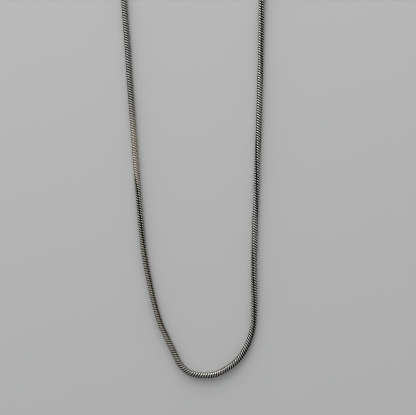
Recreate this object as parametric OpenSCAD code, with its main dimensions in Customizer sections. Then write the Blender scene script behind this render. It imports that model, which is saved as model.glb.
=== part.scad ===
// Round snake chain necklace, closed, lying flat in a long loop.
// Millimetres. +Z is up, +Y runs from the lower bend to the clasp, and the origin is
// at the middle of the loop's outline, on the surface that it lies on.

/* [Necklace] */
// Whole length round the loop, clasp included
necklace_len = 457; // [420:1:700]
// Angle between each end cap and the clasp's line
end_lean = 30; // [15:1:40]

/* [Chain] */
// Outer diameter of the chain
chain_d = 2.4; // [1.8:0.1:3]

/* [End caps] */
// Length of a cap's barrel, without its loop
cap_len = 5; // [4:0.1:8]
// Thickness of the barrel's closed end
cap_end_t = 1.4; // [1.2:0.1:2]
// Thickness of the barrel's wall
cap_wall = 0.3; // [0.2:0.05:0.6]
// Gap between the chain and the barrel's bore
bore_gap = 0.1; // [0.05:0.05:0.2]
// Gap between the chain's end and the bottom of the bore
seat_gap = 0.1; // [0.05:0.05:0.3]
// How far the rim at the mouth stands out from the barrel
rim_h = 0.1; // [0.05:0.05:0.3]
// Length of that rim
rim_len = 0.7; // [0.4:0.1:1.2]
// Length of the taper at the closed end
taper_len = 0.8; // [0.4:0.1:1.1]
// Wire diameter of the soldered loop
cap_loop_wire = 0.6; // [0.5:0.05:0.8]

/* [Jump rings] */
// Outer diameter of a jump ring
ring_d = 4.8; // [4.5:0.1:6]
// Wire diameter of a jump ring
ring_wire = 0.7; // [0.5:0.05:0.8]
// Play between a ring and a loop that it goes through
play = 0.25; // [0.2:0.05:0.35]
// How far a ring's wire sits from the middle of a loop, towards its outer end
pull = 0.35; // [0.2:0.05:0.45]

/* [Clasp] */
// Overall length of the clasp
clasp_len = 12; // [11:0.5:15]
// Thickness of the clasp's body
clasp_t = 3.2; // [2.6:0.1:3.6]
// Wire diameter of the clasp's eye
eye_wire = 0.7; // [0.6:0.05:0.9]
// Thickness of the clasp's hook
hook_wire = 1.4; // [1.2:0.1:1.7]
// Thickness of the clasp's gate
gate_wire = 1.2; // [0.9:0.1:1.5]
// Radius of the thumb nub
nub_r = 0.7; // [0.5:0.1:0.9]
// Length of the hole behind the round end of the hook
hook_reach = 1.6; // [1.2:0.1:2]

/* [Hidden] */
$fn = 64;

// The stretch of the chain's centre line that shows, from the left leg down round the
// lower bend and up the right leg. X is measured from the middle between the hidden
// legs, Y from the lowest point of the centre line.
ROUTE = [
    [-26.6, 145], [-26, 136], [-25.2, 126], [-24.5, 114], [-23.3, 99], [-22.2, 84], [-20.9, 68],
    [-19.4, 51], [-18.3, 43.6], [-16.8, 36], [-15.1, 28.4], [-12.7, 20.4], [-9.7, 13.9], [-7.2, 8.7],
    [-4.8, 4.2], [-1.4, 1.2], [3, 0.1], [8, 0.3], [12, 2], [16.6, 5.3], [19.8, 9.6], [22, 14.4],
    [23.3, 20], [23.7, 28], [23.7, 44], [24, 59], [24.6, 74], [25.1, 87], [25.6, 102], [26, 117],
    [26.3, 131], [26.6, 145]
];
// Where the hidden legs run, straight up from the ends of that stretch
leg_x = 27;
leg_y = 155;
// How far up the legs the curve looks, so that it meets them upright
leg_past = 8;
// Straight run of the chain before it enters a cap
lead_free = 2.5;
// Run over which the chain rises from the surface to the height of the cap
rise_len = 12;
// Points between two points of the route, and in each closing arc
SPLINE_STEPS = 12;
ARC_STEPS = 12;
// Sides of the plain tube, and the distance between its rings in diameters
TUBE_SIDES = 8;
RING_STEP = 2.25;
// Share of the barrel's radius left at the small end of the taper
TAPER_SHARE = 0.55;
// How deep a soldered loop sinks into what carries it
solder_sink = 0.1;

// The tube's flats lie on the round surface of the chain, its corners a little outside
corner_r = chain_d / 2 / cos(180 / TUBE_SIDES);
bore_r = corner_r + bore_gap;
bore_depth = cap_len - cap_end_t;
barrel_r = bore_r + cap_wall;
rim_r = barrel_r + rim_h;

// The caps and the clasp lie at one height, and the jump rings lean so that they touch the surface
fit_z = max(rim_r, clasp_t / 2);
ring_r = (ring_d - ring_wire) / 2;
ring_roll = asin((fit_z - ring_wire / 2) / ring_r);

// Mean radius of a loop of this wire that lets the leaning ring through off its middle
function loop_r(wire) = norm([((wire + ring_wire) / 2 + play) / sin(ring_roll), pull / cos(ring_roll)]);

// Distance from the outer end of a loop of this wire to the middle of the ring's wire in it
function wire_inset(wire) = loop_r(wire) + wire / 2 - pull;

cap_loop_r = loop_r(cap_loop_wire);
eye_r = loop_r(eye_wire);
hook_r = loop_r(hook_wire);

// Plan of the closure, from the clasp outwards: the ring's wire in the clasp, the ring's
// middle, its wire in the cap's loop, the cap's closed end, its mouth and the chain's end.
clasp_shift = (wire_inset(hook_wire) - wire_inset(eye_wire)) / 2;
wire_x = clasp_len / 2 - (wire_inset(eye_wire) + wire_inset(hook_wire)) / 2;
to_cap = [cos(end_lean), -sin(end_lean)];
to_ring = [cos(end_lean / 2), -sin(end_lean / 2)];
ring_mid = [wire_x, 0] + ring_r * to_ring;
cap_wire = ring_mid + ring_r * to_ring;
cap_face = cap_wire + (pull + cap_loop_r - solder_sink) * to_cap;
cap_mouth = cap_face + cap_len * to_cap;
chain_end = cap_mouth - (bore_depth - seat_gap) * to_cap;
chain_lead = chain_end + (bore_depth - seat_gap + lead_free) * to_cap;

// The closing arc turns the straight leg into the line of the cap
arc_r = (leg_x - chain_lead.x) / (1 - sin(end_lean));
arc_turn = 90 - end_lean;

function reversed(list) = [for (i = [len(list) - 1:-1:0]) list[i]];
function mirrored(list) = [for (p = list) [-p.x, p.y]];
function path_len(list) = sum_to([for (i = [1:len(list) - 1]) norm(list[i] - list[i - 1])], len(list) - 2);
function sum_to(list, i) = i < 0 ? 0 : list[i] + sum_to(list, i - 1);

// A smooth curve through four neighbouring points, at the share t between the middle two
function between(a, b, c, d, t) =
    (2 * b + (c - a) * t + (2 * a - 5 * b + 4 * c - d) * t * t + (3 * b - a - 3 * c + d) * t * t * t) / 2;

// The controls one beyond each join keep the curve upright where it meets the straight legs
controls = concat(
    [[-leg_x, leg_y + leg_past], [-leg_x, leg_y]], ROUTE, [[leg_x, leg_y], [leg_x, leg_y + leg_past]]
);
shown = concat(
    [for (i = [1:len(controls) - 3], k = [0:SPLINE_STEPS - 1])
        between(controls[i - 1], controls[i], controls[i + 1], controls[i + 2], k / SPLINE_STEPS)],
    [[leg_x, leg_y]]
);

// The straight legs take up whatever length the rest leaves
lead_len = norm(chain_lead - chain_end);
arc_len = arc_r * arc_turn * PI / 180;
closure_half = norm(chain_end - cap_wire) + 2 * ring_r + wire_x;
chain_len = necklace_len - 2 * closure_half;
leg_run = (chain_len - path_len(shown)) / 2 - arc_len - lead_len;
arc_y = leg_y + leg_run;
clasp_y = arc_y + arc_r * sin(arc_turn) - chain_lead.y;

closing_arc = [for (k = [0:ARC_STEPS])
    [leg_x - arc_r, arc_y] + arc_r * [cos(arc_turn * k / ARC_STEPS), sin(arc_turn * k / ARC_STEPS)]];
right_end = concat(closing_arc, [[0, clasp_y] + chain_end]);
centre_line = concat(reversed(mirrored(right_end)), shown, right_end);

// Tables of run against X and Y, so that a ring can be put at any run
run_x = [for (i = 0, s = 0; i < len(centre_line);
    s = s + (i + 1 < len(centre_line) ? norm(centre_line[i + 1] - centre_line[i]) : 0), i = i + 1)
    [s, centre_line[i].x]];
run_y = [for (i = [0:len(run_x) - 1]) [run_x[i][0], centre_line[i].y]];
total = run_x[len(run_x) - 1][0];

// Height of the centre line, which rises smoothly where the chain comes up to a cap
function ramp(t) = t <= 0 ? 0 : t >= 1 ? 1 : t * t * (3 - 2 * t);
function end_run(s) = min(s, total - s) - lead_len;
function height(s) = chain_d / 2 + (fit_z - chain_d / 2) * ramp(1 - end_run(s) / rise_len);
function at(s) = [lookup(s, run_x), lookup(s, run_y), height(s)];

// One ring of the tube, upright and square to the centre line
function heading(s) = at(min(total, s + 0.5)) - at(max(0, s - 0.5));
function side_way(s) = [-heading(s).y, heading(s).x, 0] / norm([heading(s).x, heading(s).y]);
function tube_ring(s) = [for (k = [0:TUBE_SIDES - 1])
    at(s) + corner_r * (cos((k + 0.5) * 360 / TUBE_SIDES) * side_way(s)
        + sin((k + 0.5) * 360 / TUBE_SIDES) * [0, 0, 1])];

ring_gaps = round(total / (RING_STEP * chain_d));
tube_points = [for (i = [0:ring_gaps]) each tube_ring(total * i / ring_gaps)];
tube_walls = [for (i = [0:ring_gaps - 1], k = [0:TUBE_SIDES - 1])
    let (a = i * TUBE_SIDES, b = (i + 1) * TUBE_SIDES, n = (k + 1) % TUBE_SIDES)
    [a + k, a + n, b + n, b + k]];
tube_ends = [
    reversed([for (k = [0:TUBE_SIDES - 1]) k]),
    [for (k = [0:TUBE_SIDES - 1]) ring_gaps * TUBE_SIDES + k]
];

// The origin lies halfway between the lower bend's outside and the hook's outside
low_y = min([for (p = tube_points) p.y]);
high_y = clasp_y + hook_r + hook_wire / 2;
origin_y = (low_y + high_y) / 2;

module torus(mean_r, wire) {
    rotate_extrude()
        translate([mean_r, 0])
            circle(r = wire / 2);
}

module rod(r, h) {
    rotate([0, 90, 0])
        cylinder(r = r, h = h);
}

// A cap along +X: its mouth at 0, its closed end and its loop towards the clasp
module end_cap() {
    difference() {
        union() {
            rod(barrel_r, cap_len - taper_len);
            rod(rim_r, rim_len);
            translate([cap_len - taper_len, 0, 0])
                rotate([0, 90, 0])
                    cylinder(r1 = barrel_r, r2 = barrel_r * TAPER_SHARE, h = taper_len);
            translate([cap_len + cap_loop_r - solder_sink, 0, 0])
                torus(cap_loop_r, cap_loop_wire);
        }
        translate([-rim_len, 0, 0])
            rod(bore_r, bore_depth + rim_len);
    }
}

// The pieces at the clasp are laid out round its middle, then moved to the top of the loop
module at_clasp() {
    translate([0, clasp_y - origin_y, fit_z])
        children();
}

module placed_cap() {
    at_clasp()
        translate([cap_mouth.x, cap_mouth.y, 0])
            rotate([0, 0, 180 - end_lean])
                end_cap();
}

module placed_ring() {
    at_clasp()
        translate([ring_mid.x, ring_mid.y, 0])
            rotate([0, 0, -end_lean / 2])
                rotate([ring_roll, 0, 0])
                    torus(ring_r, ring_wire);
}

module chain() {
    color("silver")
        translate([0, -origin_y, 0])
            polyhedron(points = tube_points, faces = concat(tube_walls, tube_ends));
}

module end_cap_left() {
    color("gainsboro")
        mirror([1, 0, 0])
            placed_cap();
}

module end_cap_right() {
    color("gainsboro")
        placed_cap();
}

module jump_ring_left() {
    color("lightgray")
        mirror([1, 0, 0])
            placed_ring();
}

module jump_ring_right() {
    color("lightgray")
        placed_ring();
}

// A lobster clasp in one piece: eye on the left, body, then hook and gate round the hole
module clasp() {
    eye_x = -clasp_len / 2 + eye_wire / 2 + eye_r;
    hook_x = clasp_len / 2 - hook_wire / 2 - hook_r;
    shoulder_x = hook_x - hook_reach;
    neck_x = eye_x + eye_r + hook_wire / 2 - solder_sink;
    color("silver")
        at_clasp()
            translate([clasp_shift, 0, 0]) {
                translate([eye_x, 0, 0])
                    torus(eye_r, eye_wire);
                translate([hook_x, 0, 0])
                    rotate([0, 0, -90])
                        rotate_extrude(angle = 180)
                            translate([hook_r, 0])
                                circle(r = hook_wire / 2);
                translate([shoulder_x, hook_r, 0])
                    rod(hook_wire / 2, hook_reach);
                translate([shoulder_x, -hook_r, 0])
                    rod(gate_wire / 2, hook_reach);
                hull() {
                    translate([neck_x, 0, 0])
                        sphere(r = hook_wire / 2, $fn = 32);
                    translate([(neck_x + shoulder_x) / 2, 0, 0])
                        sphere(r = clasp_t / 2, $fn = 32);
                    for (side = [-1, 1])
                        translate([shoulder_x, side * hook_r, 0])
                            sphere(r = hook_wire / 2, $fn = 32);
                }
                // The nub is a hull too, so that its facets join the body's cleanly
                translate([(neck_x + shoulder_x) / 2, -hook_r, 0])
                    hull()
                        sphere(r = nub_r, $fn = 32);
            }
}

chain();
end_cap_left();
end_cap_right();
jump_ring_left();
jump_ring_right();
clasp();
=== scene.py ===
# %% [markdown]
# # A round snake chain necklace
#
# A snake chain is a tube of short metal rings, each pushed a little way into the next. This
# lesson dresses a necklace whose sizes are already settled: a frame of plain solids gives the
# place of the chain, its two end caps, two jump rings and a clasp, and every piece made here
# stands for one of those solids. All lengths are in metres, so a small constant turns the
# millimetres of a jeweller's ruler into metres.

# %% The frame
import random
from math import asin, atan2, cos, degrees, hypot, pi, radians, sin, tan

import bmesh
import bpy
from mathutils import Matrix, Vector


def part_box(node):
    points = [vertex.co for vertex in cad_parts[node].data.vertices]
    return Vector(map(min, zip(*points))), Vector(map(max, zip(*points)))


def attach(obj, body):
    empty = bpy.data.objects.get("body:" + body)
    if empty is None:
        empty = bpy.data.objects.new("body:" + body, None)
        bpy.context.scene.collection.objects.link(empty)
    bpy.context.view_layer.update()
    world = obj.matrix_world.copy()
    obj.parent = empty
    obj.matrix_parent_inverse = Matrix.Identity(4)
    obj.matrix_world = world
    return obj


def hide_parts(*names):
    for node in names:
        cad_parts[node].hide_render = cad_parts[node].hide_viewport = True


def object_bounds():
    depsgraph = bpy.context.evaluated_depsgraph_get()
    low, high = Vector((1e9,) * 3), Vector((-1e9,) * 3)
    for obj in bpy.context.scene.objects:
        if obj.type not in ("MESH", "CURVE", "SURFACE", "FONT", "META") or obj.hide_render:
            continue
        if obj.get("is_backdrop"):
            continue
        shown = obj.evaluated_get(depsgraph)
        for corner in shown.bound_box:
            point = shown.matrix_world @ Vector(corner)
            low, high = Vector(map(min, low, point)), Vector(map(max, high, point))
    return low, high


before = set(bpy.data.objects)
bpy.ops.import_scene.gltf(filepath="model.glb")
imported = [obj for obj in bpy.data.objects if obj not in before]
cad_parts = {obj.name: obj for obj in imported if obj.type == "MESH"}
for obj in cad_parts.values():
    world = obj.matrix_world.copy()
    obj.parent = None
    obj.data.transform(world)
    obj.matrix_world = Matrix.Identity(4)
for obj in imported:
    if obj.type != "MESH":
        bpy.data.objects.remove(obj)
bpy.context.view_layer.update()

MM = 0.001
print("solids in the frame:", sorted(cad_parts))

# %% [markdown]
# ## Where the chain runs
#
# The necklace lies flat as a long narrow loop. The stretch in view is a gentle curve with
# no formula behind it, so a short list of points carries it, in millimetres from
# the lowest point of the chain's centre line. The rest takes the plain way round: straight
# legs, one arc on each side, and a short straight run into each cap.

# %% The route's points
ROUTE = [
    (-26.6, 145), (-26, 136), (-25.2, 126), (-24.5, 114), (-23.3, 99), (-22.2, 84), (-20.9, 68),
    (-19.4, 51), (-18.3, 43.6), (-16.8, 36), (-15.1, 28.4), (-12.7, 20.4), (-9.7, 13.9), (-7.2, 8.7),
    (-4.8, 4.2), (-1.4, 1.2), (3, 0.1), (8, 0.3), (12, 2), (16.6, 5.3), (19.8, 9.6), (22, 14.4),
    (23.3, 20), (23.7, 28), (23.7, 44), (24, 59), (24.6, 74), (25.1, 87), (25.6, 102), (26, 117),
    (26.3, 131), (26.6, 145),
]
print("hand-chosen points:", len(ROUTE))

# %% A smooth curve through the points
# On both sides the hidden leg runs straight up from here, and the curve looks a little way up it
LEG_X = 27 * MM
LEG_Y = 155 * MM
LEG_PAST = 8 * MM
STEPS = 12


def between(a, b, c, d, t):
    """A point on the smooth curve from b to c, at the share t."""
    return (2 * b + (c - a) * t + (2 * a - 5 * b + 4 * c - d) * t * t
            + (3 * b - a - 3 * c + d) * t ** 3) / 2


controls = [Vector((-LEG_X, LEG_Y + LEG_PAST, 0)), Vector((-LEG_X, LEG_Y, 0))]
controls += [Vector((x, y, 0)) * MM for x, y in ROUTE]
controls += [Vector((LEG_X, LEG_Y, 0)), Vector((LEG_X, LEG_Y + LEG_PAST, 0))]
shown = [
    between(*controls[i - 1:i + 3], k / STEPS)
    for i in range(1, len(controls) - 2) for k in range(STEPS)
]
shown.append(controls[-2])
print("points on the shown stretch:", len(shown))

# %% The curve's place in the frame
CHAIN_R = 1.2 * MM

lowest_centre = min(p.y for p in shown)
route_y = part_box("chain")[0].y + CHAIN_R - lowest_centre
shown = [p + Vector((0, route_y, 0)) for p in shown]
print("the list's zero lies at y", round(route_y / MM, 2), "mm in the frame")

# %% The closing arcs and the straight run into each cap
# Each cap leans by this angle from the clasp's line
END_LEAN = radians(30)
# The chain comes straight up to a cap's mouth, and goes on into its bore
LEAD_FREE = 2.5 * MM
RUN_IN_CAP = 3.5 * MM

cap_low, cap_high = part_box("end_cap_right")
rim_r = (cap_high.z - cap_low.z) / 2
fit_z = (cap_high.z + cap_low.z) / 2
to_cap = Vector((cos(END_LEAN), -sin(END_LEAN), 0))
cap_mouth = Vector((cap_high.x - rim_r * sin(END_LEAN), cap_low.y + rim_r * cos(END_LEAN), 0))
chain_end = cap_mouth - RUN_IN_CAP * to_cap
chain_lead = cap_mouth + LEAD_FREE * to_cap

arc_turn = pi / 2 - END_LEAN
arc_r = (LEG_X - chain_lead.x) / (1 - sin(END_LEAN))
arc_mid = Vector((LEG_X - arc_r, chain_lead.y - arc_r * sin(arc_turn), 0))
right_end = [
    arc_mid + arc_r * Vector((cos(arc_turn * k / STEPS), sin(arc_turn * k / STEPS), 0))
    for k in range(STEPS + 1)
]
right_end.append(chain_end)
left_end = [Vector((-p.x, p.y, 0)) for p in reversed(right_end)]
line = left_end + shown + right_end

runs = [0.0]
for a, b in zip(line, line[1:]):
    runs.append(runs[-1] + (b - a).length)
chain_len = runs[-1]
print("chain from end to end:", round(chain_len / MM, 1), "mm, closing arc radius",
      round(arc_r / MM, 1), "mm")

# %% A place at any run along the chain
# The chain rises from the surface to the height of the caps over this run
RISE_LEN = 12 * MM
lead_len = LEAD_FREE + RUN_IN_CAP


def height(run):
    """The centre line lies one radius above the floor, and rises to the caps at both ends."""
    past_lead = min(run, chain_len - run) - lead_len
    t = min(1, max(0, 1 - past_lead / RISE_LEN))
    return CHAIN_R + (fit_z - CHAIN_R) * t * t * (3 - 2 * t)


def place(run):
    """The centre line at that run from the left end."""
    run = min(chain_len, max(0, run))
    i = next(i for i in range(1, len(runs)) if runs[i] >= run)
    t = (run - runs[i - 1]) / (runs[i] - runs[i - 1])
    spot = line[i - 1].lerp(line[i], t)
    spot.z = height(run)
    return spot


print("height of the centre line in mm, on the floor and in a cap:",
      round(height(chain_len / 2) / MM, 2), round(height(0) / MM, 2))

# %% [markdown]
# ## The view
#
# The photograph looks straight down at the lying chain. One picture element is 0.387 mm, and
# the camera's place follows from which point of the route falls on the picture's middle.

# %% The camera
PIXEL = 0.387 * MM
PICTURE_W = 416
# Counted in picture elements from the upper left: the middle of the picture, and the route's zero
MIDDLE_X = 207.5
MIDDLE_Y = 207
ROUTE_ZERO_X = 192.5
ROUTE_ZERO_Y = 375
# The camera's height above the surface, in metres
CAMERA_H = 0.42
SENSOR_W = 36
CLIP_START = 0.01

camera_data = bpy.data.cameras.new("camera")
camera_data.sensor_width = SENSOR_W
camera_data.lens = SENSOR_W * (CAMERA_H - CHAIN_R) / (PIXEL * PICTURE_W)
camera_data.clip_start = CLIP_START
camera = bpy.data.objects.new("camera", camera_data)
camera.location = Vector((MIDDLE_X - ROUTE_ZERO_X, ROUTE_ZERO_Y - MIDDLE_Y, 0)) * PIXEL
camera.location += Vector((0, route_y, CAMERA_H))
bpy.context.collection.objects.link(camera)
bpy.context.scene.camera = camera
print("lens:", round(camera_data.lens, 1), "mm")

# %% [markdown]
# ## One link
#
# Seen from the side, a link isn't a plain ring. Three slanted leaves run round it, each a
# third of the way round, and between two leaves the ring drops back steeply. The leaves of
# the whole chain lie side by side in three long faces of slanted bars, with a seam at each
# drop, painted black as shade in the gap there. A collar on one side reaches under the next
# link, as a cup stands in another cup.
#
# A closed cross-section is spun once round the axis, which gives a clean ring of four-sided
# faces. Its crown is a little lower on the side away from the collar, as the lip of a pressed
# cup is. Then the vertices are moved, column by column. With 15 columns and 5 points a link has
# 75 faces, few enough to repeat it some 450 times.

# %% The link's cross-section
LINK_PITCH = 0.95 * MM
SIDES = 15
COLUMN = 2 * pi / SIDES
# Half the length of a link's band and of its crown, then what the crown's low side and the edges sink
BAND = 0.37 * MM
CROWN = 0.17 * MM
CROWN_TILT = 0.03 * MM
EDGE_SINK = 0.14 * MM
# How far the collar reaches along the chain, and how deep its end lies
COLLAR_REACH = 0.74 * MM
COLLAR_SINK = 0.36 * MM
SECTION = [
    (-BAND, CHAIN_R - EDGE_SINK), (-CROWN, CHAIN_R - CROWN_TILT), (CROWN, CHAIN_R),
    (BAND, CHAIN_R - EDGE_SINK), (COLLAR_REACH, CHAIN_R - COLLAR_SINK),
]
MERGE = 0.0001 * MM


def spun(section, sides, closed=True):
    """A cross-section of (along the axis, radius) points, spun once round Z."""
    bm = bmesh.new()
    verts = [bm.verts.new((radius, 0, along)) for along, radius in section]
    ends = verts[:1] if closed else []
    edges = [bm.edges.new(pair) for pair in zip(verts, verts[1:] + ends)]
    bmesh.ops.spin(bm, geom=verts + edges, cent=(0, 0, 0), axis=(0, 0, 1), angle=2 * pi,
                   steps=sides, use_merge=True)
    bmesh.ops.remove_doubles(bm, verts=bm.verts, dist=MERGE)
    bmesh.ops.recalc_face_normals(bm, faces=bm.faces)
    return bm


print("the section reaches from", round(-BAND / MM, 2), "to", round(COLLAR_REACH / MM, 2), "mm")

# %% The three leaves
LEAVES = 3
LEAF_COLUMNS = SIDES // LEAVES
TIP_COLUMN = (LEAF_COLUMNS - 1) / 2
LEAF_SLANT = radians(25)
# A leaf is spread a little, which narrows the seam between two leaves
LEAF_SPREAD = 1.05
# Where the seams gape fully, a leaf's tip keeps this share of its length and sinks by this much
TIP_WIDTH = 0.5
TIP_SINK = 0.18 * MM
# Points that lie deeper than this belong to the collar
LEAF_DEPTH = (EDGE_SINK + COLLAR_SINK) / 2
LAYERS = ("tone", "grime", "groove")


def leafy_link(gape, **layers):
    """A link whose leaves' tips are sunk and narrowed by the share gape. Its collar stays round."""
    bm = spun(SECTION, SIDES)
    for name in LAYERS:
        bm.verts.layers.float.new(name)
    groove = bm.verts.layers.float["groove"]
    # Faces in a seam, where two leaves leave a gap, get black painted shade, as much as the seam gapes
    seam = bm.faces.layers.float.new("seam")
    for face in bm.faces:
        middle = face.calc_center_median()
        column = atan2(middle.y, middle.x) / COLUMN % LEAF_COLUMNS
        face[seam] = min(1, gape) if column > LEAF_COLUMNS - 1 else 0
        face.smooth = True
    for v in bm.verts:
        sink = CHAIN_R - hypot(v.co.x, v.co.y)
        from_middle = round(atan2(v.co.y, v.co.x) / COLUMN) % LEAF_COLUMNS - TIP_COLUMN
        # How deep a point lies; the finish paints shade and tarnish by this value
        v[groove] = min(1, sink / EDGE_SINK)
        if abs(from_middle) == TIP_COLUMN and sink < LEAF_DEPTH:
            v.co.z *= 1 - (1 - TIP_WIDTH) * gape
            v.co.xy *= 1 - TIP_SINK * gape / CHAIN_R
        v.co.rotate(Matrix.Rotation((LEAF_SPREAD - 1) * from_middle * COLUMN, 3, "Z"))
        v.co.z -= tan(LEAF_SLANT) * CHAIN_R * LEAF_SPREAD * from_middle * COLUMN
        for name, value in layers.items():
            v[bm.verts.layers.float[name]] = value
    return bm


link = leafy_link(1)
leaf_half = max(abs(v.co.z) for v in link.verts)
print("faces in a link:", len(link.faces), "- its reach along the chain:", round(leaf_half / MM, 2), "mm")
link.free()

# %% [markdown]
# ## Laying the chain
#
# A chain seldom lies without a twist, and its steel and its grooves are darker in some stretches
# than in others. None of that follows a formula, so small charts give values at a few runs,
# and the links between two entries share the change out evenly. One chart turns the links, in
# degrees, so that the seams, black with painted shade, wander round the chain. The others give
# how dark the grooves are, how much darker the steel is, how far the seams gape, and how far
# the grooves are pressed shut on the inner side of the lower bend, where the links lie closest.
#
# An array would repeat one link, so a loop makes each link anew with its own gape and shades,
# turns it, sets it square to the route, and gathers all of them in one mesh. The first and
# last links keep inside the caps.

# %% The charts of twist and wear
TWIST = [
    (0, 77), (50, 74), (66, 70), (73, 20), (80, 8), (92, -18), (96, -31), (120, -35), (130, -39),
    (149, -52), (171, -80), (179, -79), (188, -105), (204, -151), (211, -160), (221, -178),
    (228, -198), (235, -228), (240, -245), (245, -266), (251, -287), (257, -303), (279, -309),
    (285, -326), (291, -337), (301, -347), (307, -358), (310, -361),
]
# How dark the grooves are, stretch by stretch: low values leave them the pale colour
GROOVE_DARKNESS = [(38, 1), (52, 0.1), (68, 0.05), (74, 1), (88, 1), (96, 0.75), (130, 0.6), (142, 0.7), (150, 1)]
# How much darker the steel is, stretch by stretch along the chain
STEEL_DARKENING = [(70, 0.5), (74, 0), (84, 0), (92, 1), (160, 1), (176, 0.3), (205, 0.3), (220, 0)]
GAPE = [
    (66, 0.25), (73, 1), (128, 1), (134, 0.5), (163, 0.4), (171, 1), (176, 1.3), (208, 1.2),
    (214, 0.3), (224, 0.3), (229, 1.2), (252, 1.2), (260, 0.3), (276, 0.3), (281, 1),
]
PRESSED = [(136, 0), (142, 0.5), (149, 0.95), (157, 0.95), (162, 0.3), (167, 0)]
first_shown = runs[len(left_end) + STEPS]


def charted(chart, run):
    """The value there in a chart of (millimetres from the first point, value)."""
    past = (run - first_shown) / MM
    for (a, value_a), (b, value_b) in zip(chart, chart[1:]):
        if past <= b:
            share = max(0, (past - a) / (b - a))
            return value_a + (value_b - value_a) * share
    return chart[-1][1]


print("the charts start", round(first_shown / MM, 1), "mm from the chain's left end")

# %% Grooves pressed shut
# Shares of the radius, towards the inner side of the bend, where the press starts and is full
PRESS_FROM = 0.15
PRESS_FULL = 0.65


def press(bm, middle, ahead, inward, share):
    """Fills a laid link's grooves up by that share, on the side that faces inward."""
    groove = bm.verts.layers.float["groove"]
    for v in bm.verts:
        out = v.co - middle
        out -= out.dot(ahead) * ahead
        inside = (out.dot(inward) / CHAIN_R - PRESS_FROM) / (PRESS_FULL - PRESS_FROM)
        filled = share * min(1, max(0, inside))
        v.co += out.normalized() * EDGE_SINK * v[groove] * filled
        v[groove] *= 1 - filled


print("a groove is", round(EDGE_SINK / MM, 2), "mm deep where nothing presses it")

# %% The links
SEED = 7
# Each link's turn is off by about this many degrees, and its steel is duller by up to this share
TURN_PLAY = 1.5
TONE_SPREAD = 0.6

first_run = leaf_half
last_run = chain_len - leaf_half
links = round((last_run - first_run) / LINK_PITCH) + 1
pitch = (last_run - first_run) / (links - 1)
seeded = random.Random(SEED)
chain_bm = bmesh.new()
for n in range(links):
    run = first_run + n * pitch
    ahead = (place(run + pitch / 2) - place(run - pitch / 2)).normalized()
    up = (Vector((0, 0, 1)) - ahead * ahead.z).normalized()
    spot = Matrix((up, ahead.cross(up), ahead)).transposed().to_4x4()
    spot.translation = place(run)
    turn = radians(charted(TWIST, run) + seeded.gauss(0, TURN_PLAY)) + COLUMN / 2
    tone = seeded.uniform(0, TONE_SPREAD) + charted(STEEL_DARKENING, run)
    one = leafy_link(charted(GAPE, run), tone=tone, grime=charted(GROOVE_DARKNESS, run))
    bmesh.ops.transform(one, matrix=spot @ Matrix.Rotation(turn, 4, "Z"), verts=one.verts)
    press(one, spot.translation, ahead, up.cross(ahead), charted(PRESSED, run))
    mesh = bpy.data.meshes.new("one_link")
    one.to_mesh(mesh)
    one.free()
    chain_bm.from_mesh(mesh)
    bpy.data.meshes.remove(mesh)
print("links:", links, "at", round(pitch / MM, 3), "mm, faces:", len(chain_bm.faces))

# %% [markdown]
# ## From a bmesh to a piece
#
# Every finished bmesh becomes an object in the same way: it rides on the necklace's one body,
# stands for its solid, and takes that solid's finish. The fittings' finish has to know where a
# surface stands out, because edges wear and creases keep dirt and take painted shade. Blender's
# pointiness gives that in a render only, so each vertex is measured here against its
# neighbours and keeps the value.


# %% The helpers for pieces
def measure_relief(bm):
    """Stores how far each vertex stands out of its neighbours: edges above zero, creases below."""
    bm.normal_update()
    relief = bm.verts.layers.float.new("relief")
    for v in bm.verts:
        near = [e.other_vert(v).co for e in v.link_edges]
        span = sum((v.co - co).length for co in near)
        v[relief] = v.normal.dot(v.co * len(near) - sum(near, Vector())) / span if span else 0


def piece_from(bm, name, node, slot):
    """Makes a finished piece of a bmesh, which stands for a solid of the frame."""
    if slot == "fitting_steel":
        measure_relief(bm)
    mesh = bpy.data.meshes.new(name)
    bm.to_mesh(mesh)
    bm.free()
    piece = bpy.data.objects.new(name, mesh)
    bpy.context.collection.objects.link(piece)
    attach(piece, "root")
    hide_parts(node)
    return piece


chain = piece_from(chain_bm, "chain_links", "chain", "chain_steel")
print("chain's shades for its finish:", [a.name for a in chain.data.attributes if a.data_type == "FLOAT"])

# %% [markdown]
# ## The jump rings
#
# A jump ring is a turn of round wire that joins a cap's loop to the clasp. It leans between
# them, so that it touches the surface with its lower side. A curve with a round bevel would
# give the same wire, but a circle of points spun to a ring is a clean closed mesh at once. The
# solid that it stands for gives its middle.

# %% A round wire bent to a ring
WIRE_SIDES = 20
RING_SIDES = 72


def wire_ring(mean_r, wire):
    """A ring of round wire round Z."""
    angles = [2 * pi * k / WIRE_SIDES for k in range(WIRE_SIDES)]
    section = [(wire / 2 * sin(a), mean_r + wire / 2 * cos(a)) for a in angles]
    return spun(section, RING_SIDES)


print("faces of a wire ring:", WIRE_SIDES * RING_SIDES)

# %% The two jump rings
RING_D = 4.8 * MM
RING_WIRE = 0.7 * MM
ring_r = (RING_D - RING_WIRE) / 2
ring_roll = asin((fit_z - RING_WIRE / 2) / ring_r)

rings = []
for side, name in ((-1, "jump_ring_left"), (1, "jump_ring_right")):
    low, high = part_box(name)
    ring_bm = wire_ring(ring_r, RING_WIRE)
    lean = Matrix.Rotation(-side * END_LEAN / 2, 4, "Z") @ Matrix.Rotation(ring_roll, 4, "X")
    place_ring = Matrix.Translation((low + high) / 2) @ lean
    bmesh.ops.transform(ring_bm, matrix=place_ring, verts=ring_bm.verts)
    rings.append(piece_from(ring_bm, name.replace("jump_ring", "ring"), name, "fitting_steel"))
print("the rings lean by", round(degrees(ring_roll)), "degrees")

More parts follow.
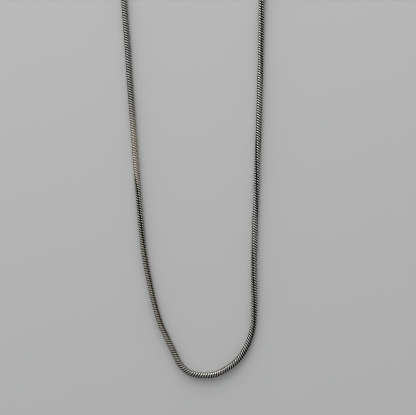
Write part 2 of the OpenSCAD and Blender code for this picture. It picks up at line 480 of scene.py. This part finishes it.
# %% [markdown]
# ## The end caps
#
# A cap is turned from bar: a cup with a low rim at its mouth, where the chain is glued in, and
# a taper at its closed end, with a wire loop soldered on. Half of its outline is spun round its
# axis. Its edges are rounded a little with a bevel, since a tumbled fitting has no sharp edge,
# and a boolean makes one piece of the cup and its loop. A ring of points a little way from each
# edge of the long barrel holds its shading straight.

# %% The cup
# How far the rim at the mouth stands out from the barrel, and its length
RIM_H = 0.1 * MM
RIM_LEN = 0.7 * MM
# The barrel's length, and the thickness of its closed end and of its wall
CAP_LEN = 5 * MM
CAP_END_T = 1.4 * MM
CAP_WALL = 0.3 * MM
# The taper's length, and the share of the barrel's radius that is left at its small end
TAPER_LEN = 0.8 * MM
TAPER_SHARE = 0.55
CAP_SIDES = 64
# An edge that turns by more than this angle is rounded, by a bevel of this width and so many steps
SHARP = radians(25)
SOFT_EDGE = 0.04 * MM
SOFT_STEPS = 3
# From the barrel's edges to the ring of points that holds its shading
HOLD = 0.2 * MM


def soften(bm, width):
    """Rounds every sharp edge."""
    sharp = [e for e in bm.edges if e.calc_face_angle(0) > SHARP]
    bmesh.ops.bevel(bm, geom=sharp, offset=width, offset_type="OFFSET", segments=SOFT_STEPS,
                    profile=0.5, affect="EDGES", material=-1, clamp_overlap=True)


def cup():
    """A cup along Z with its mouth at zero."""
    barrel_r = rim_r - RIM_H
    bore_r = barrel_r - CAP_WALL
    bore_depth = CAP_LEN - CAP_END_T
    taper_from = CAP_LEN - TAPER_LEN
    bm = spun([
        (bore_depth, 0), (bore_depth, bore_r), (HOLD, bore_r), (0, bore_r), (0, rim_r),
        (RIM_LEN, rim_r), (RIM_LEN, barrel_r), (RIM_LEN + HOLD, barrel_r),
        (taper_from - HOLD, barrel_r), (taper_from, barrel_r), (CAP_LEN, barrel_r * TAPER_SHARE),
        (CAP_LEN, 0),
    ], CAP_SIDES, closed=False)
    soften(bm, SOFT_EDGE)
    return bm


print("the cup is", round(2 * rim_r / MM, 2), "mm across at its rim")

# %% The loop, and one piece of both
# A ring has this play in a loop, and its wire sits this far from the loop's middle
PLAY = 0.25 * MM
PULL = 0.35 * MM
CAP_LOOP_WIRE = 0.6 * MM
# A soldered loop sinks this deep into what carries it
SOLDER_SINK = 0.1 * MM
# Points nearer than this are one point
WELD = 0.002 * MM


def loop_r(wire):
    """Mean radius of a loop of this wire that lets the leaning ring through with its play."""
    return hypot(((wire + RING_WIRE) / 2 + PLAY) / sin(ring_roll), PULL / cos(ring_roll))


def joined(*parts):
    """One closed shell of several that overlap, without the slivers that a boolean leaves."""
    objects = []
    for bm in parts:
        mesh = bpy.data.meshes.new("part")
        bm.to_mesh(mesh)
        bm.free()
        objects.append(bpy.data.objects.new("part", mesh))
        bpy.context.collection.objects.link(objects[-1])
    for other in objects[1:]:
        union = objects[0].modifiers.new("union", "BOOLEAN")
        union.operation = "UNION"
        union.object = other
    whole = bmesh.new()
    whole.from_object(objects[0], bpy.context.evaluated_depsgraph_get())
    for one in objects:
        bpy.data.meshes.remove(one.data)
    bmesh.ops.remove_doubles(whole, verts=whole.verts, dist=WELD)
    bmesh.ops.dissolve_degenerate(whole, edges=whole.edges, dist=WELD)
    return whole


print("a cap's loop is", round(2 * loop_r(CAP_LOOP_WIRE) / MM, 2), "mm across, from wire to wire")

# %% The two caps
caps = []
for side, name in ((-1, "end_cap_left"), (1, "end_cap_right")):
    loop = wire_ring(loop_r(CAP_LOOP_WIRE), CAP_LOOP_WIRE)
    out = CAP_LEN + loop_r(CAP_LOOP_WIRE) - SOLDER_SINK
    flat = Matrix.Translation((0, 0, out)) @ Matrix.Rotation(pi / 2, 4, "X")
    bmesh.ops.transform(loop, matrix=flat, verts=loop.verts)
    cap_bm = joined(cup(), loop)
    inward = Vector((-side * to_cap.x, -to_cap.y, 0))
    sideways = Vector((-inward.y, inward.x, 0))
    turn = Matrix((sideways, Vector((0, 0, 1)), inward)).transposed().to_4x4()
    mouth = Vector((side * cap_mouth.x, cap_mouth.y, fit_z))
    bmesh.ops.transform(cap_bm, matrix=Matrix.Translation(mouth) @ turn, verts=cap_bm.verts)
    bmesh.ops.recalc_face_normals(cap_bm, faces=cap_bm.faces)
    for face in cap_bm.faces:
        face.smooth = True
    caps.append(piece_from(cap_bm, name.replace("end_cap", "cap"), name, "fitting_steel"))
print("a cap has", len(caps[0].data.polygons), "faces")

# %% [markdown]
# ## The clasp
#
# The clasp is a plain lobster clasp, shown shut and in one piece: a round eye, a swelling body
# with a nub for the thumb, and a hook whose end meets the gate. Such a body is cast and then
# tumbled, so its forms flow into each other. Round rods, balls and the hull over four balls
# give the forms, a voxel remesh melts them to one skin, and smoothing rounds the creases.

# %% The clasp's parts
CLASP_T = 3.2 * MM
EYE_WIRE = 0.7 * MM
HOOK_WIRE = 1.4 * MM
GATE_WIRE = 1.2 * MM
NUB_R = 0.7 * MM
# Length of the hole behind the round end of the hook
HOOK_REACH = 1.6 * MM
BALL_SIDES = 48

clasp_low, clasp_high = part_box("clasp")
clasp_y = (clasp_low.y + clasp_high.y) / 2
eye_r = loop_r(EYE_WIRE)
hook_r = loop_r(HOOK_WIRE)
eye_x = clasp_low.x + EYE_WIRE / 2 + eye_r
hook_x = clasp_high.x - HOOK_WIRE / 2 - hook_r
shoulder_x = hook_x - HOOK_REACH
neck_x = eye_x + eye_r + HOOK_WIRE / 2 - SOLDER_SINK
body_x = (neck_x + shoulder_x) / 2


def ball(bm, x, y, r):
    """A ball in the clasp's own plane."""
    bmesh.ops.create_uvsphere(bm, u_segments=BALL_SIDES, v_segments=BALL_SIDES // 2, radius=r,
                              matrix=Matrix.Translation((x, y, 0)))


def bar(bm, y, wire):
    """A round bar along X from the shoulder to the hook."""
    along = Matrix.Translation((shoulder_x + HOOK_REACH / 2, y, 0)) @ Matrix.Rotation(pi / 2, 4, "Y")
    bmesh.ops.create_cone(bm, cap_ends=True, segments=BALL_SIDES, radius1=wire / 2, radius2=wire / 2,
                          depth=HOOK_REACH, matrix=along)


print("the clasp's body runs from", round(neck_x / MM, 2), "to", round(shoulder_x / MM, 2), "mm")

# %% The clasp's forms, still apart
body = bmesh.new()
ball(body, neck_x, 0, HOOK_WIRE / 2)
ball(body, body_x, 0, CLASP_T / 2)
ball(body, shoulder_x, hook_r, HOOK_WIRE / 2)
ball(body, shoulder_x, -hook_r, HOOK_WIRE / 2)
hull = bmesh.ops.convex_hull(body, input=body.verts)
inner = {v for v in hull["geom_interior"] + hull["geom_unused"] if isinstance(v, bmesh.types.BMVert)}
bmesh.ops.delete(body, geom=list(inner), context="VERTS")

eye = wire_ring(eye_r, EYE_WIRE)
bmesh.ops.translate(eye, vec=(eye_x, 0, 0), verts=eye.verts)

hook = wire_ring(hook_r, HOOK_WIRE)
half = bmesh.ops.bisect_plane(hook, geom=hook.verts[:] + hook.edges[:] + hook.faces[:],
                              plane_co=(0, 0, 0), plane_no=(1, 0, 0), clear_inner=True)
bmesh.ops.holes_fill(hook, edges=[e for e in half["geom_cut"] if isinstance(e, bmesh.types.BMEdge)])
bmesh.ops.translate(hook, vec=(hook_x, 0, 0), verts=hook.verts)

bars = bmesh.new()
bar(bars, hook_r, HOOK_WIRE)
bar(bars, -hook_r, GATE_WIRE)
ball(bars, body_x, -hook_r, NUB_R)
print("corners of the body's hull:", len(body.verts))

# %% The clasp's skin
VOXEL = 0.1 * MM
SMOOTHINGS = 6
SMOOTH_SHARE = 0.5


def melted(*parts):
    """One soft skin over shells that overlap. The grid works in millimetres."""
    shells = bmesh.new()
    for bm in parts:
        mesh = bpy.data.meshes.new("part")
        bm.to_mesh(mesh)
        bm.free()
        shells.from_mesh(mesh)
        bpy.data.meshes.remove(mesh)
    bmesh.ops.scale(shells, vec=(1 / MM, 1 / MM, 1 / MM), verts=shells.verts)
    mesh = bpy.data.meshes.new("shells")
    shells.to_mesh(mesh)
    shells.free()
    thing = bpy.data.objects.new("shells", mesh)
    bpy.context.collection.objects.link(thing)
    grid = thing.modifiers.new("grid", "REMESH")
    grid.mode = "VOXEL"
    grid.voxel_size = VOXEL / MM
    skin = bmesh.new()
    skin.from_object(thing, bpy.context.evaluated_depsgraph_get())
    bpy.data.meshes.remove(mesh)
    for n in range(SMOOTHINGS):
        bmesh.ops.smooth_vert(skin, verts=skin.verts, factor=SMOOTH_SHARE, use_axis_x=True,
                              use_axis_y=True, use_axis_z=True)
    bmesh.ops.scale(skin, vec=(MM, MM, MM), verts=skin.verts)
    return skin


clasp_bm = melted(body, eye, hook, bars)
bmesh.ops.translate(clasp_bm, vec=(0, clasp_y, fit_z), verts=clasp_bm.verts)
for face in clasp_bm.faces:
    face.smooth = True
clasp = piece_from(clasp_bm, "lobster_clasp", "clasp", "fitting_steel")
print("the clasp has", len(clasp.data.polygons), "faces")

# %% [markdown]
# ## Shader maths as plain sums
#
# A finish is easier to read as sums than as a picture of wired boxes. One small class wraps
# a node's output, so an expression such as `1 - mask * 0.4` adds its own Math nodes, and one
# method adds every other node from its type, its settings and its inputs.


# %% The helpers for materials
SCRATCH_DEPTH = 0.02 * MM


class Value:
    """A node's output: a number or a colour that varies over the surface."""

    def __init__(self, paint, socket):
        self.paint = paint
        self.socket = socket

    def math(self, operation, a, b):
        """Adds a Math node, whose two sockets share one name and so go by number."""
        return self.paint.node("ShaderNodeMath", {"operation": operation}, {0: a, 1: b})

    def __add__(self, other):
        return self.math("ADD", self, other)

    def __sub__(self, other):
        return self.math("SUBTRACT", self, other)

    def __rsub__(self, other):
        return self.math("SUBTRACT", other, self)

    def __mul__(self, other):
        return self.math("MULTIPLY", self, other)

    __radd__ = __add__
    __rmul__ = __mul__


class Paint:
    """A new material, its surface shader and its nodes."""

    def __init__(self, name, **constants):
        self.material = bpy.data.materials.new(name)
        self.material.use_nodes = True
        self.tree = self.material.node_tree
        self.shader = self.tree.nodes["Principled BSDF"]
        for socket, value in constants.items():
            self.shader.inputs[socket.replace("_", " ")].default_value = value

    def node(self, kind, settings=None, inputs=None, out=0):
        """Adds a node: settings first, then the values or links of its sockets."""
        node = self.tree.nodes.new(kind)
        for name, value in (settings or {}).items():
            setattr(node, name, value)
        for key, value in (inputs or {}).items():
            if isinstance(value, Value):
                self.tree.links.new(value.socket, node.inputs[key])
            else:
                node.inputs[key].default_value = value
        return Value(self, node.outputs[out])

    def mix(self, share, a, b):
        """The colour a, turning to b as the share goes from 0 to 1."""
        # A Mix node's sockets have the same names for every kind of value, so colours go by number
        return self.node("ShaderNodeMix", {"data_type": "RGBA"}, {0: share, 6: a, 7: b}, out=2)

    def ramp(self, value, start, full):
        """Goes softly from 0 where the value is start to 1 where it is full."""
        return self.node("ShaderNodeMapRange", {"interpolation_type": "SMOOTHSTEP"},
                         {"Value": value, "From Min": start, "From Max": full})

    def bump(self, height, strength):
        """Fine scratches, as deep as a height of 0 to 1 says."""
        return self.node("ShaderNodeBump", None,
                         {"Strength": strength, "Distance": SCRATCH_DEPTH, "Height": height})

    def noise(self, scale, detail, stretch=(1, 1, 1)):
        """Noise on Object coordinates, finer with a larger scale."""
        where = self.node("ShaderNodeTexCoord", out="Object")
        spread = self.node("ShaderNodeMapping", None, {"Vector": where, "Scale": stretch})
        return self.node("ShaderNodeTexNoise", None, {"Vector": spread, "Scale": scale, "Detail": detail})

    def attribute(self, name):
        """What the mesh itself says at each vertex or face."""
        return self.node("ShaderNodeAttribute", {"attribute_name": name}, out="Fac")

    def feed(self, socket, value):
        """Links a value to the surface shader."""
        self.tree.links.new(value.socket, self.shader.inputs[socket])


print("scratches are", round(SCRATCH_DEPTH / MM, 2), "mm deep at most")

# %% [markdown]
# ## Worn steel, with painted shade in its grooves
#
# The crowns of the links are rubbed bright. The grooves between them hold old polish and
# tarnish and carry painted shade as well, so they are nearly black with a warm tint. Ambient
# occlusion could find the grooves, but it is worked out anew in each render and knows nothing
# of tarnish. So the shader reads the mesh's own values, which were set while the links were
# shaped: how deep a point lies, how dark its link's steel and grooves are, and whether it lies
# in a seam, whose black is painted shade.

# %% Chain steel
CROWN_COLOUR = (0.87, 0.85, 0.815, 1)
DULL_COLOUR = (0.40, 0.38, 0.35, 1)
# The grooves' near black is painted shade between the links, together with tarnish
GROOVE_SHADE_AND_TARNISH = (0.05, 0.042, 0.032, 1)
PALE_GROOVE_COLOUR = (0.46, 0.39, 0.30, 1)
# Black painted shade for the gaps of the seams
SEAM_SHADE_COLOUR = (0.02, 0.017, 0.014, 1)
SMUDGE_SCALE = 900
SCRATCH_SCALE = 6000
SCRATCH_STRENGTH = 0.12
# Shares of a groove's depth where its painted shade and tarnish start and where they are full
SHADE_AND_TARNISH_FROM = 0.02
SHADE_AND_TARNISH_FULL = 0.57
# How much a link's own tone and the smudges darken its steel
LINK_DULLING = 0.4
SMUDGE_DULLING = 0.3
CROWN_ROUGHNESS = 0.3
SMUDGE_ROUGHNESS = 0.1
GROOVE_ROUGHNESS = 0.3

chain_paint = Paint("chain_steel", Metallic=1.0)
depth = chain_paint.attribute("groove")
link_tone = chain_paint.attribute("tone")
smudge = chain_paint.noise(SMUDGE_SCALE, detail=3)
# Painted shade with tarnish: the deeper a point lies in a groove, the darker it is
dark = chain_paint.ramp(depth, SHADE_AND_TARNISH_FROM, SHADE_AND_TARNISH_FULL)
at_seam = chain_paint.attribute("seam")
dulling = link_tone * LINK_DULLING + smudge * SMUDGE_DULLING
steel = chain_paint.mix(dulling, CROWN_COLOUR, DULL_COLOUR)
# The grooves go from a pale colour to the near black of painted shade and tarnish, as the groove chart
# says
groove_colour = chain_paint.mix(chain_paint.attribute("grime"), PALE_GROOVE_COLOUR, GROOVE_SHADE_AND_TARNISH)
worn = chain_paint.mix(dark, steel, groove_colour)
# Black painted shade in the seams
chain_paint.feed("Base Color", chain_paint.mix(at_seam, worn, SEAM_SHADE_COLOUR))
roughness = CROWN_ROUGHNESS + smudge * SMUDGE_ROUGHNESS + dark * GROOVE_ROUGHNESS
chain_paint.feed("Roughness", roughness)
scratches = chain_paint.noise(SCRATCH_SCALE, detail=2)
chain_paint.feed("Normal", chain_paint.bump(scratches, SCRATCH_STRENGTH))
chain.data.materials.append(chain_paint.material)
print("nodes in the chain's finish:", len(chain_paint.tree.nodes))

# %% [markdown]
# ## The fittings' steel
#
# Caps, rings and clasp are the same steel, polished smooth and then carried in a drawer and on
# a neck. Edges that stand out are rubbed bright, creases keep a little dirt and take painted
# shade as well, and smudges and fine scratches lie over the rest. How far a place stands out
# was measured on each mesh.

# %% Fitting steel
POLISHED = (0.66, 0.65, 0.63, 1)
HANDLED = (0.45, 0.44, 0.415, 1)
EDGE_BRIGHT = (0.84, 0.83, 0.81, 1)
# Painted shade in creases, with a little dirt
CREASE_SHADE_AND_DIRT = (0.10, 0.085, 0.07, 1)
# Reliefs where an edge starts to be rubbed and is bright, then where a crease starts to take painted
# shade and dirt
EDGE_FROM = 0.08
EDGE_FULL = 0.3
CREASE_FROM = -0.02
CREASE_FULL = -0.12
EDGE_SHARE = 0.8
HANDLING_SCALE = 600
# The fine scratches run along X, since their noise changes faster along Y
FINE_SCALE = 3000
FINE_STRETCH = (1, 5, 1)
FINE_STRENGTH = 0.1
POLISH_ROUGHNESS = 0.12
HANDLED_ROUGHNESS = 0.2
EDGE_GLOSS = 0.04
DIRT_ROUGHNESS = 0.25

fitting_paint = Paint("fitting_steel", Metallic=1.0)
relief = fitting_paint.attribute("relief")
rubbed = fitting_paint.ramp(relief, EDGE_FROM, EDGE_FULL)
crease = fitting_paint.ramp(relief, CREASE_FROM, CREASE_FULL)
smudges = fitting_paint.noise(HANDLING_SCALE, detail=4)
polish = fitting_paint.mix(smudges, POLISHED, HANDLED)
worn_steel = fitting_paint.mix(rubbed * EDGE_SHARE, polish, EDGE_BRIGHT)
# Creases darken with painted shade and a little dirt
fitting_paint.feed("Base Color", fitting_paint.mix(crease, worn_steel, CREASE_SHADE_AND_DIRT))
handled = POLISH_ROUGHNESS + smudges * HANDLED_ROUGHNESS
fitting_paint.feed("Roughness", handled - rubbed * EDGE_GLOSS + crease * DIRT_ROUGHNESS)
fine = fitting_paint.noise(FINE_SCALE, detail=3, stretch=FINE_STRETCH)
fitting_paint.feed("Normal", fitting_paint.bump(fine, FINE_STRENGTH))
for piece in (*rings, *caps, clasp):
    piece.data.materials.append(fitting_paint.material)
print("nodes in the fittings' finish:", len(fitting_paint.tree.nodes))

# %% [markdown]
# ## The floor and the light
#
# The necklace lies on a plain pale floor. The bright sides of its links and the soft shadows
# beside them say that a wide low window stands beyond its upper left. One lamp of that width
# would light the steel from too many sides at once and hide its form, so three square area
# lamps share the window between them, and the room's pale light fills the rest.

# %% The floor
FLOOR_SIDE = 4
FLOOR_COLOUR = (0.615, 0.617, 0.61, 1)
FLOOR_ROUGHNESS = 0.9

floor_bm = bmesh.new()
bmesh.ops.create_grid(floor_bm, x_segments=1, y_segments=1, size=FLOOR_SIDE / 2)
floor_mesh = bpy.data.meshes.new("floor")
floor_bm.to_mesh(floor_mesh)
floor_bm.free()
floor = bpy.data.objects.new("floor", floor_mesh)
bpy.context.collection.objects.link(floor)
floor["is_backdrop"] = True
floor_paint = Paint("pale_floor", Base_Color=FLOOR_COLOUR, Roughness=FLOOR_ROUGHNESS)
floor.data.materials.append(floor_paint.material)
print("the floor's side:", FLOOR_SIDE, "m")

# %% The window and the room
# Each lamp is a square of this side in metres, with a name, a place in metres and a power in watts
PANE = 0.8
WINDOW = [
    ("window_top", (0, 1.2, 0.43), 8.4),
    ("window_left", (-0.98, 0.69, 0.43), 3.3),
    ("window_high", (-0.4, 0.86, 0.85), 3.6),
]
ROOM_COLOUR = (0.97, 0.985, 1, 1)
ROOM_LIGHT = 0.40

for name, spot, power in WINDOW:
    data = bpy.data.lights.new(name, "AREA")
    data.size = PANE
    data.energy = power
    lamp = bpy.data.objects.new(name, data)
    lamp.location = spot
    lamp.rotation_euler = (-lamp.location).to_track_quat("-Z", "Y").to_euler()
    lamp.visible_camera = False
    bpy.context.collection.objects.link(lamp)

world = bpy.data.worlds.new("room")
world.use_nodes = True
room_light = world.node_tree.nodes["Background"]
room_light.inputs["Color"].default_value = ROOM_COLOUR
room_light.inputs["Strength"].default_value = ROOM_LIGHT
bpy.context.scene.world = world
print("window lamps:", len(WINDOW))

# %% [markdown]
# ## A crisp picture
#
# A link covers little more than two picture elements. Blender's denoiser cleans its guide
# pictures first, and would wipe out a pattern as fine as that, so that step is off. The filter
# that gathers light for a picture element is a little narrower than usual for the same reason.
# The plain view transform keeps the steel's and the floor's own colours.

# %% The picture
FILTER_WIDTH = 1.0

bpy.context.scene.view_settings.view_transform = "Standard"
bpy.context.scene.cycles.denoising_prefilter = "NONE"
bpy.context.scene.cycles.filter_width = FILTER_WIDTH
print("a link is", round(LINK_PITCH / PIXEL, 1), "picture elements long")

# %% [markdown]
# ## The size
#
# The finished pieces keep inside the box of the solids that they stand for. The size of
# the box round everything shown is printed in millimetres.

# %% The size
low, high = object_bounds()
print("visual size in mm:", [round(side / MM, 1) for side in high - low])
